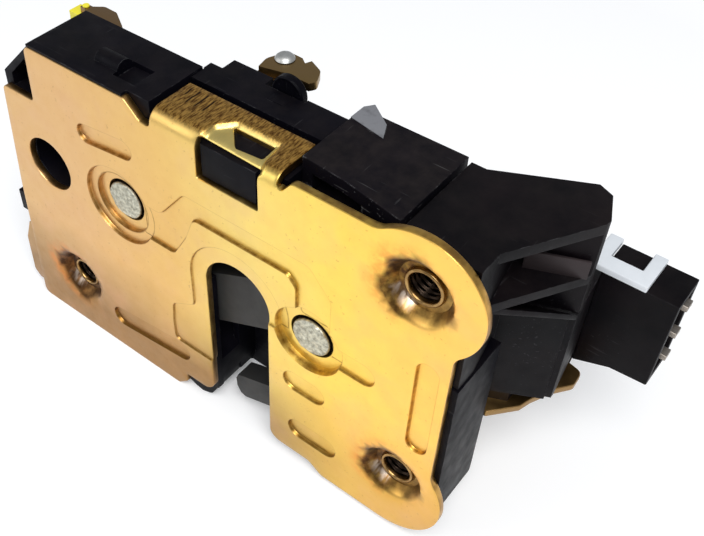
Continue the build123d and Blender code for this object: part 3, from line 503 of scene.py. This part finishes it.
SLOT_X0, SLOT_X1, SLOT_MID, SLOT_ARC = 37.0, 51.2, 44.1, 23.4
SLOT_R = 7.1
outline = rounded(
    [(-2.0, 54.8, 1.5), (-2.5, 43.2, 0.8), (-10.9, 43.2, 1.0), (-13.0, 18.0, 3.0), (-14.2, -13.5, 1.5),
     (27.0, -13.5, 1.5), (29.5, -11.2, 0.8), (29.5, -8.7, 0.8), (SLOT_X0, -8.7, 3.0)]
    + bare(arc(SLOT_MID, SLOT_ARC, SLOT_R, 180, 0))
    + [(SLOT_X1, -10.2, 2.5), (60.5, -10.2, 1.5), (63.5, -12.3, 1.5)]
    + bare(arc(76.3, -0.5, 11.8, -90, 35.3)) + bare(arc(89.2, 8.62, 4.0, 215.3, 180)[1:])
    + bare(arc(89.2, 37.02, 4.0, 180, 138.3)) + bare(arc(78.0, 47.0, 11.0, -41.7, 124.9)[1:])
    + bare(arc(69.41, 59.3, 4.0, -55.1, -90)[1:])
    + [(56.0, 55.3, 1.2), (53.0, 51.5, 0.9), (53.0, FLANGE_END, 0.25), (27.5, FLANGE_END, 0.25), (27.5, 51.5, 0.9),
       (25.2, 51.8, 1.0), (22.0, 54.8, 1.2)]
)
WINDOW = rounded([(37.0, 46.5, 0.4), (49.6, 46.5, 0.4), (49.6, 54.3, 0.5), (37.2, 54.8, 0.5)])
FLANGE_SLOT = rounded([(43.6, 56.0, 0.4), (48.4, 56.7, 0.4), (48.1, 60.0, 0.3), (39.9, 60.0, 0.3)], 0.35)
holes = [circle(-1.7, 29.3, 5.55), circle(*CLAW, 4.3), circle(*PAWL, 4.3), WINDOW, FLANGE_SLOT]
holes += [circle(x, z, 3.25) for x, z in SCREWS]

channel = rounded(
    [(22.0, 33.5, 0.6), (27.5, 33.5, 1.8), (33.5, 41.0, 2.2), (59.5, 41.0, 2.2), (63.9, 36.0, 2.2), (63.9, 28.0, 1.0),
     (57.0, 28.0, 0.8), (57.0, 34.5, 1.6), (55.3, 36.5, 1.2), (35.3, 36.5, 1.8), (33.2, 31.0, 2.0), (30.0, 25.5, 1.8),
     (22.0, 25.5, 0.6)], 0.4)
border = rounded(
    [(38.5, 1.0, 0), (27.6, 1.0, 1.4), (27.5, 6.0, 2.0), (28.0, 11.4, 2.0), (33.6, 14.6, 1.6)]
    + bare(arc(SLOT_MID, SLOT_ARC, 10.5, 180, 0)) + [(54.6, 22.0, 0.0), (50.0, 22.0, 0), (50.0, 23.4, 0.0)]
    + bare(arc(SLOT_MID, SLOT_ARC, 5.9, 0, 180)) + [(38.5, 14.0, 0)], 0.4)
DIMPLE_R = 6.1
# each recess: outline, depth, width of its wall
RECESSES = [
    (channel, 0.60, 0.20), (border, 0.36, 0.18),
    (stadium(15.5, 43.0, 13.5, 4.0, 7.0), 0.70, 0.24), (stadium(20.4, -2.8, 21.5, 5.0, 6.5), 0.62, 0.22),
    (stadium(81.7, 23.8, 22.0, 4.0, 90.0), 0.62, 0.22), (stadium(66.5, 23.9, 13.0, 4.8), 0.55, 0.20),
    (stadium(59.0, 10.9, 9.0, 4.8), 0.55, 0.20), (stadium(61.1, -2.3, 10.8, 5.0), 0.60, 0.22),
    (circle(16.9, 29.4, 8.2), 0.75, 0.24), (circle(17.1, 29.7, 6.4), 1.5, 0.30), (circle(*CLAW, 6.95), 1.5, 0.34),
] + [(circle(x, z, DIMPLE_R), 2.4, 1.7) for x, z in SCREWS]
TONGUE = rounded([(37.4, 53.0, 0.4), (50.4, 53.0, 0.4), (49.3, 61.0, 0.9), (40.2, 61.0, 1.6), (37.5, 57.8, 2.4)], 0.4)


def signed(points, loop):
    """Distance of each point from a closed outline, below zero inside."""
    a = np.array(loop)
    b = np.roll(a, -1, 0)
    far = np.full(len(points), 1e9)
    inside = np.zeros(len(points), bool)
    px, py = points[:, 0], points[:, 1]
    for (x0, y0), (x1, y1) in zip(a, b):
        dx, dy = x1 - x0, y1 - y0
        t = np.clip(((px - x0) * dx + (py - y0) * dy) / max(dx * dx + dy * dy, 1e-12), 0, 1)
        far = np.minimum(far, np.hypot(px - x0 - t * dx, py - y0 - t * dy))
        crosses = (y0 > py) != (y1 > py)
        if dy:
            inside ^= crosses & (px < dx * (py - y0) / dy + x0)
    return np.where(inside, -far, far)


def inset(loop, distance):
    """The outline moved to its inner side."""
    a = np.array(loop)
    ahead, behind = np.roll(a, -1, 0) - a, a - np.roll(a, 1, 0)
    ahead /= np.maximum(np.linalg.norm(ahead, axis=1), 1e-9)[:, None]
    behind /= np.maximum(np.linalg.norm(behind, axis=1), 1e-9)[:, None]
    along = ahead + behind
    along /= np.maximum(np.linalg.norm(along, axis=1), 1e-9)[:, None]
    area = np.sum(a[:, 0] * np.roll(a[:, 1], -1) - np.roll(a[:, 0], -1) * a[:, 1])
    side = np.stack([-along[:, 1], along[:, 0]], 1) * (1 if area > 0 else -1)
    return [tuple(p) for p in a + side * distance]


def smooth(t):
    """0 to 1 with level ends."""
    t = np.clip(t, 0, 1)
    return t * t * (3 - 2 * t)


def on_sheet(points, margin):
    """Whether each point is on the sheet, by more than the margin from all its edges."""
    return (signed(points, outline) < -margin) & np.all([signed(points, h) > margin for h in holes], 0)


EDGE_R = 0.24
GRID, BEND_GRID = 1.3, (0.62, 0.31)  # steps of the free points on the flat sheet, and across and along the bend
GRID_CLEAR = 0.26  # from a free point to the nearest point of a loop


def face_plate():
    """The pressed sheet: triangles between loops that follow each wall, sunk by depth, then folded over the top."""
    borders = [outline] + holes
    loops = [(loop, True) for loop in borders]
    for d in (0.07, 0.24):
        loops.append((inset(outline, d), False))
        loops += [(inset(h, -d), False) for h in holes]
    for loop, depth, wall in RECESSES:
        loops += [(loop, False), (inset(loop, wall), False)]
        if wall < 1:
            loops += [(inset(loop, wall / 2), False), (inset(loop, -0.14), False), (inset(loop, wall + 0.16), False)]
        if wall > 1:
            loops += [(inset(loop, wall / 3), False), (inset(loop, wall * 2 / 3), False)]
    loops += [(inset(TONGUE, d), False) for d in (0.0, 0.35, 0.7, 1.05)]
    points, fixed_edges = [], []
    everything = np.array([p for loop, _ in loops for p in loop])
    for loop, is_border in loops:
        a = np.array(loop)
        keep = np.ones(len(a), bool) if is_border else on_sheet(a, 0.06)
        first = len(points)
        points += [tuple(p) for p in a[keep]]
        index = np.cumsum(keep) - 1 + first
        for k in range(len(a)):
            k2 = (k + 1) % len(a)
            if keep[k] and keep[k2]:
                fixed_edges.append((int(index[k]), int(index[k2])))
    lattice = [(x, s) for x in np.arange(-15, 90, GRID) for s in np.arange(-14, FLANGE_END + 1, GRID)]
    lattice += [(x, s) for x in np.arange(27.6, 53.2, BEND_GRID[0])
                for s in np.arange(BEND_Z, BEND_END + 0.1, BEND_GRID[1])]
    lattice = np.array(lattice)
    lattice = lattice[on_sheet(lattice, 0.25)]
    clear = np.ones(len(lattice), bool)
    for k in range(0, len(everything), 400):
        part = everything[k:k + 400]
        away = np.hypot(lattice[:, None, 0] - part[None, :, 0], lattice[:, None, 1] - part[None, :, 1])
        clear &= np.min(away, 1) > GRID_CLEAR
    points += [tuple(p) for p in lattice[clear]]
    flat, _, triangles = delaunay_2d_cdt([Vector(p) for p in points], fixed_edges, [], 0, 1e-5)[:3]
    flat = np.array([tuple(v) for v in flat])
    triangles = np.array([tuple(t) for t in triangles])
    triangles = triangles[on_sheet(flat[triangles].mean(1), 0.0)]

    depth = np.zeros(len(flat))
    recess_shade = np.zeros(len(flat))
    for loop, deep, wall in RECESSES:
        inside = -signed(flat, loop)
        t = np.clip(inside / wall, 0, 1)
        depth = np.maximum(depth, deep * (smooth(t) if wall < 1 else t))
        if wall < 1:
            # painted shade along the middle of each narrow wall
            recess_shade = np.maximum(recess_shade, np.clip(1.3 - np.abs(inside - wall / 2) / (wall * 0.6), 0, 1))
    # round each dimple: a low shoulder, a ring of painted shade with a ragged edge, a warm halo and a painted
    # highlight on the lower-left wall
    shoulder, dimple_shade, halo, glint = (np.zeros(len(flat)) for _ in range(4))
    for x, z in SCREWS:
        r = np.hypot(flat[:, 0] - x, flat[:, 1] - z)
        angle = np.arctan2(flat[:, 1] - z, flat[:, 0] - x)
        shoulder = np.maximum(shoulder, np.where(r > DIMPLE_R, 0.30 * smooth((7.9 - r) / 1.8), 0.30))
        ragged = 0.45 * np.sin(angle * 3 + x) + 0.3 * np.sin(angle * 7 + z)
        side = 0.5 + 0.5 * np.cos(angle - 2.9)
        # painted shade: a ragged dark ring, heavier towards the left
        dimple_shade = np.maximum(dimple_shade, smooth((6.0 + 0.9 * side + ragged - r) / 0.9) * (0.80 + 0.18 * side))
        halo = np.maximum(halo, smooth((7.6 + 2.2 * side + ragged - r) / 2.4) * side)
        # the painted highlight's place, on the lower-left wall of each dimple
        facing = smooth((np.cos(angle - radians(228)) - 0.86) / 0.10)
        glint = np.maximum(glint, facing * smooth((r - 3.5) / 0.3) * smooth((5.2 - r) / 0.5))
    depth = np.where(depth > 1e-6, np.maximum(depth, shoulder), shoulder)
    sunk = smooth(-signed(flat, TONGUE) / 1.05)
    depth += 0.85 * sunk * smooth((flat[:, 1] - 52.9) / 1.2)
    to_edge = np.minimum(-signed(flat, outline), np.min([signed(flat, h) for h in holes], 0))
    to_edge = np.clip(to_edge, 0, None)
    k = np.clip(EDGE_R - to_edge, 0, EDGE_R)
    dip = EDGE_R - np.sqrt(np.maximum(EDGE_R ** 2 - k ** 2, 0))
    low, high = depth + dip * 0.9, depth + SHEET - dip * 0.6

    def fold(x, s, h):
        """A point of the flat sheet, h behind its front, brought to its place."""
        if s <= BEND_Z or not FOLD_X[0] < x < FOLD_X[1]:
            return (x, h, s)
        a = min((s - BEND_Z) / BEND_R, pi / 2)
        run = max(0.0, s - BEND_END)
        return (x, BEND_R - (BEND_R - h) * cos(a) + run, BEND_Z + (BEND_R - h) * sin(a))

    n = len(flat)
    verts = [fold(x, s, h) for side in (low, high) for (x, s), h in zip(flat, side)]
    faces = [tuple(int(i) for i in t) for t in triangles] + [tuple(int(i) + n for i in t[::-1]) for t in triangles]
    sides = {}
    for t in triangles:
        for a, b in ((t[0], t[1]), (t[1], t[2]), (t[2], t[0])):
            sides.setdefault((int(min(a, b)), int(max(a, b))), []).append((int(a), int(b)))
    for uses in sides.values():
        if len(uses) == 1:
            a, b = uses[0]
            faces.append((b, a, a + n, b + n))
    obj = piece("face_plate_sheet", verts, faces, PLATE, "chassis", 38)
    on_flange = (flat[:, 0] > FOLD_X[0]) & (flat[:, 0] < FOLD_X[1])
    # mask of the flange's top, which the material paints darker as shade
    flange = smooth((flat[:, 1] - BEND_Z - 2.2) / 1.4) * on_flange
    # where the painted highlight lies on the sunk tongue
    tongue_highlight = sunk * smooth((flat[:, 1] - 54.0) / 1.5)
    layers = {"flange": np.tile(flange, 2), "dimple_shade": np.tile(dimple_shade, 2), "halo": np.tile(halo, 2),
              "tongue_highlight": np.tile(tongue_highlight, 2), "recess_shade": np.concatenate([recess_shade, np.zeros(n)]),
              "glint": np.concatenate([glint, np.zeros(n)])}
    # the sheet's cut edges, which the material paints brown as shade
    wall = np.zeros(len(obj.data.polygons), np.float32)
    wall[2 * len(triangles):] = 1
    obj.data.attributes.new("rim", "FLOAT", "FACE").data.foreach_set("value", wall)
    for key, values in layers.items():
        obj.data.attributes.new(key, "FLOAT", "POINT").data.foreach_set("value", values.astype(np.float32))
    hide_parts("face_plate")


face_plate()

# ------------------------------------------------------------------ threaded bushes and rivets

PITCH, TAP_R, ROOT_R = 1.0, 2.5, 2.95
THREAD_Y, THREAD_STEP, BUSH_BACK = 2.6, 0.125, 10.2


def threaded_bush(name, centre):
    """A bush with a rolled collar in front and an M6 thread inside."""
    rows = int((BUSH_BACK - THREAD_Y) / THREAD_STEP)
    profile = [(3.35, 2.4), (3.32, 2.05), (3.15, 1.86), (2.92, 1.82), (2.72, 1.92), (2.62, 2.2)]
    first = len(profile)
    profile += [(TAP_R, THREAD_Y + THREAD_STEP * k) for k in range(rows + 1)]
    last = len(profile)
    profile += [(3.0, BUSH_BACK), (4.3, BUSH_BACK), (4.6, 9.9), (4.6, 4.1), (3.35, 3.95)]

    def warp(j, r, y, a):
        if not first <= j < last:
            return 0, 0
        phase = (y / PITCH - a / (2 * pi)) % 1.0
        ramp_in = min(1.0, (y - 2.4) / 0.8)
        return (ROOT_R - TAP_R) * ramp_in * (1 - abs(2 * phase - 1)) + 0.02, 0

    return lathe(name, profile, centre, THREAD, "chassis", 56, warp, 70)


for k, (name, centre) in enumerate(zip(("bush_left", "bush_lower", "bush_upper"), SCREWS)):
    bush = threaded_bush(name, centre)
    if k == 0:
        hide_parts("threaded_bushes")


def rivet(name, node, centre):
    """Stepped pin: the staked, hammered end shows in the plate's dish, the flat head behind."""
    face = [(0.0, 0.9), (0.6, 0.9), (1.2, 0.9), (1.8, 0.9), (2.4, 0.9), (3.0, 0.92), (3.4, 0.97), (3.62, 1.08),
            (3.75, 1.3)]
    shaft = [(3.75, 3.0), (5.2, 3.0), (5.2, 3.4), (4.0, 3.4), (4.0, 10.0), (3.0, 10.0), (3.0, 12.0), (4.2, 12.0),
             (4.4, 12.2), (4.4, 12.9), (4.1, 13.2), (0.0, 13.2)]

    def warp(j, r, y, a):
        if j >= len(face) - 1:
            return 0, 0
        at = Vector((r * cos(a) * 0.9 + centre[0], r * sin(a) * 0.9, 1.7))
        return 0, 0.20 * noise.noise(at) + 0.10 * noise.noise(at * 3.1)

    obj = lathe(name, face + shaft, centre, STAKED, "chassis", 56, warp, 50)
    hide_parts(node)


rivet("claw_pin", "claw_rivet", CLAW)
rivet("pawl_pin", "pawl_rivet", PAWL)

# ------------------------------------------------------------------ moulded and stamped pieces with rounded edges

# node: material, width of its rounded edges
ROUNDED = {
    "latch_housing": (BLACK, 0.30), "top_cap": (DUSTY, 0.40), "actuator_housing": (DRIVE, 0.30),
    "lever_carrier": (BLACK, 0.30), "connector_shell": (DRIVE, 0.40), "connector_lock": (WHITE, 0.30),
    "claw_cover": (GREY, 0.25), "back_plate": (ZINC, 0.20), "reinforcement_plate": (ZINC, 0.25),
    # the lower bracket's bronze zinc is painted shade
    "lower_bracket": (BRONZE_AND_SHADE, 0.30), "actuator_cover": (DRIVE, 0.35), "release_lever": (BRONZE_AND_SHADE, 0.45),
    "pivot_arm": (BRONZE_AND_SHADE, 0.25), "lock_lever": (BRONZE_AND_SHADE, 0.25), "rod_clip": (YELLOW, 0.20),
    "striker_buffer": (RUBBER, 0.4), "microswitch_case": (GREY, 0.20), "pawl": (HARD, 0.20),
    "connector_terminals": (TIN, 0.20), "cover_screws": (STEEL, 0.20),
}
for node, (material, width) in ROUNDED.items():
    rounded_copy(node, material, width)

# nodes shown as they are
PLAIN = {
    "claw_core": HARD, "claw_spring": SPRING, "pawl_spring": SPRING, "switch_plunger": NATURAL,
    "lock_rivet": STEEL, "motor_case": STEEL, "motor_worm": NATURAL, "drive_gear": NATURAL, "lock_slider": NATURAL,
    "contact_carrier": NATURAL,
}
for node, material in PLAIN.items():
    slots = NODES[node].material_slots
    for k in range(len(slots)):
        slots[k].material = material
    if not slots:
        NODES[node].data.materials.append(material)

# ------------------------------------------------------------------ knob, rivet dome, fins of the wing

KNOB, KNOB_Y, KNOB_R = (41.4, 54.6), 17.1, 3.15
LID_Z, BLOCK_TOP, BLOCK_BACK = 53.6, 55.0, 14.1
RIB_DEPTH, RIB_RATE = 0.14, 3.4


def knob():
    """Half round knob with a finely ribbed front, its shaft under the block's lid."""
    steps = 9
    front = [(KNOB_R * 0.92 * k / steps, KNOB_Y + 0.02) for k in range(steps + 1)]
    rim = [(KNOB_R, KNOB_Y + 0.28), (KNOB_R, KNOB_Y + 1.4), (KNOB_R - 0.25, KNOB_Y + 1.68), (0.0, KNOB_Y + 1.68)]

    def ribbed(j, r, y, a):
        if not 0 < j < steps:
            return 0, 0
        return 0, RIB_DEPTH * abs(sin(r * cos(a) * RIB_RATE))

    obj = lathe("knob", front + rim, KNOB, BLACK, "key_turn", 72, ribbed, 40)
    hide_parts("key_cam")


def prism(name, base, offset, material, node, width=0.15):
    """A bevelled solid between an outline and the same outline moved."""
    n = len(base)
    verts = list(base) + [tuple(a + b for a, b in zip(v, offset)) for v in base]
    faces = [tuple(range(n)), tuple(range(2 * n - 1, n - 1, -1))]
    faces += [(k, k + n, (k + 1) % n + n, (k + 1) % n) for k in range(n)]
    obj = piece(name, verts, faces, material, BODY_OF[node])
    bevel = obj.modifiers.new("edges", "BEVEL")
    bevel.width, bevel.segments = width * MM, 2
    apply(obj)
    shade(obj, SHARP)


knob()
lid = [(39.7, BLOCK_BACK), (43.1, BLOCK_BACK), (43.1, KNOB_Y - 0.15), (39.7, KNOB_Y - 0.15)]
prism("knob_lid", [(x, y, LID_Z) for x, y in lid], (0, 0, BLOCK_TOP - LID_Z), BLACK, "lever_carrier")
prism("wing_fin", [(85.9, 6.3, 43.6), (94.3, 20.4, 35.8), (84.4, 16.3, 35.8)], (0, 0, 1.2), DRIVE, "actuator_housing")
# the wing's panel, in black plastic painted lighter as lit
prism("wing_panel", [(85.6, 16.3, 45.2), (94.0, 19.8, 45.2), (94.2, 19.4, 45.2), (85.8, 15.8, 45.2)], (0, 0, 3.4),
      PAINTED_LIT_BLACK, "actuator_housing", 0.1)
RIVET = (35.2, 24.4)
dome = [(0.0, 56.08), (0.7, 56.02), (1.2, 55.84), (1.6, 55.5), (1.75, 55.22), (1.05, 55.2), (1.05, 50.5), (0.0, 50.5)]
dome_obj = lathe("release_rivet_dome", dome, RIVET, DOME, BODY_OF["release_rivet"], 48,
                 sharp=50, upright=True)
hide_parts("release_rivet")

# ------------------------------------------------------------------ floor, light, camera


FLOOR_LIFT, FLOOR_HALF = 0.16, 3


def plain_floor(z):
    """A pale floor that shadows fall on, lifted a little for the camera and white far away."""
    mesh = bpy.data.meshes.new("floor")
    corners = [(-1, -1), (1, -1), (1, 1), (-1, 1)]
    mesh.from_pydata([(FLOOR_HALF * x, FLOOR_HALF * y, z) for x, y in corners], [], [(0, 1, 2, 3)])
    obj = bpy.data.objects.new("floor", mesh)
    bpy.context.scene.collection.objects.link(obj)
    s = Shader("floor_pale")
    tone = s.ramp(s.noise(3, 2), (0.0, 0.91), (1.0, 0.93))
    path = s.node("LightPath")
    looked = s.maths("MAXIMUM", path.outputs["Is Camera Ray"], path.outputs["Is Glossy Ray"])
    away = s.node("VectorMath", operation="LENGTH")
    s.put(away.inputs[0], s.place)
    far = s.times(path.outputs["Is Camera Ray"], s.span(away.outputs["Value"], 0.20, 0.80, 0.0, 0.9))
    s.set(Base_Color=tone, Roughness=0.9, Specular_IOR_Level=0.0, Emission_Color=(0.98, 0.99, 1.0, 1.0),
          Emission_Strength=s.maths("ADD", s.times(looked, FLOOR_LIFT), far))
    mesh.materials.append(s.material)


plain_floor(cad_bounds[0][2])


def lamp(name, place, aim, size, power):
    data = bpy.data.lights.new(name, "AREA")
    data.shape, data.size, data.energy = "SQUARE", size, power
    obj = bpy.data.objects.new(name, data)
    bpy.context.scene.collection.objects.link(obj)
    obj.location = place
    obj.rotation_euler = (Vector(aim) - Vector(place)).to_track_quat("-Z", "Y").to_euler()


middle = (0.045, 0.015, 0.02)
lamp("key", (0.40, -0.35, 0.75), middle, 0.55, 7.0)
lamp("fill", (-0.60, -0.60, 0.45), middle, 0.6, 2.0)

# white where the camera looks past the floor, pale grey as light
world = bpy.data.worlds.new("studio")
bpy.context.scene.world = world
world.use_nodes = True
sky = world.node_tree
sky.nodes.clear()
paths = sky.nodes.new("ShaderNodeLightPath")
seen = sky.nodes.new("ShaderNodeMath")
seen.operation = "MAXIMUM"
sky.links.new(paths.outputs["Is Camera Ray"], seen.inputs[0])
sky.links.new(paths.outputs["Is Transmission Ray"], seen.inputs[1])
ambient, white, blend = (sky.nodes.new("ShaderNode" + k) for k in ("Background", "Background", "MixShader"))
ambient.inputs[0].default_value = (0.80, 0.83, 0.88, 1)
ambient.inputs[1].default_value = 0.42
white.inputs[0].default_value = (1, 1, 1, 1)
sky.links.new(seen.outputs[0], blend.inputs[0])
sky.links.new(ambient.outputs[0], blend.inputs[1])
sky.links.new(white.outputs[0], blend.inputs[2])
sky.links.new(blend.outputs[0], sky.nodes.new("ShaderNodeOutputWorld").inputs[0])

# the camera that the photograph was taken with, as fitted
TURN, PITCH_DOWN, ROLL = radians(39.37), radians(45.66), radians(-0.26)
right = Vector((cos(TURN), sin(TURN), 0))
ahead = Vector((-sin(TURN) * cos(PITCH_DOWN), cos(TURN) * cos(PITCH_DOWN), -sin(PITCH_DOWN)))
up = right.cross(ahead)
right, up = cos(ROLL) * right + sin(ROLL) * up, -sin(ROLL) * right + cos(ROLL) * up
camera = bpy.data.cameras.new("camera")
camera.sensor_width, camera.lens = 36.0, 48.63
camera.shift_x, camera.shift_y = 0.1014, 0.0045
camera.clip_start = 0.01
shot = bpy.data.objects.new("camera", camera)
bpy.context.scene.collection.objects.link(shot)
turned = Matrix((right, up, -ahead)).transposed().to_4x4()
turned.translation = Vector((0.11972, -0.0824, 0.14252))
shot.matrix_world = turned
bpy.context.scene.camera = shot
bpy.context.scene.view_settings.view_transform = "Standard"

bpy.context.view_layer.update()
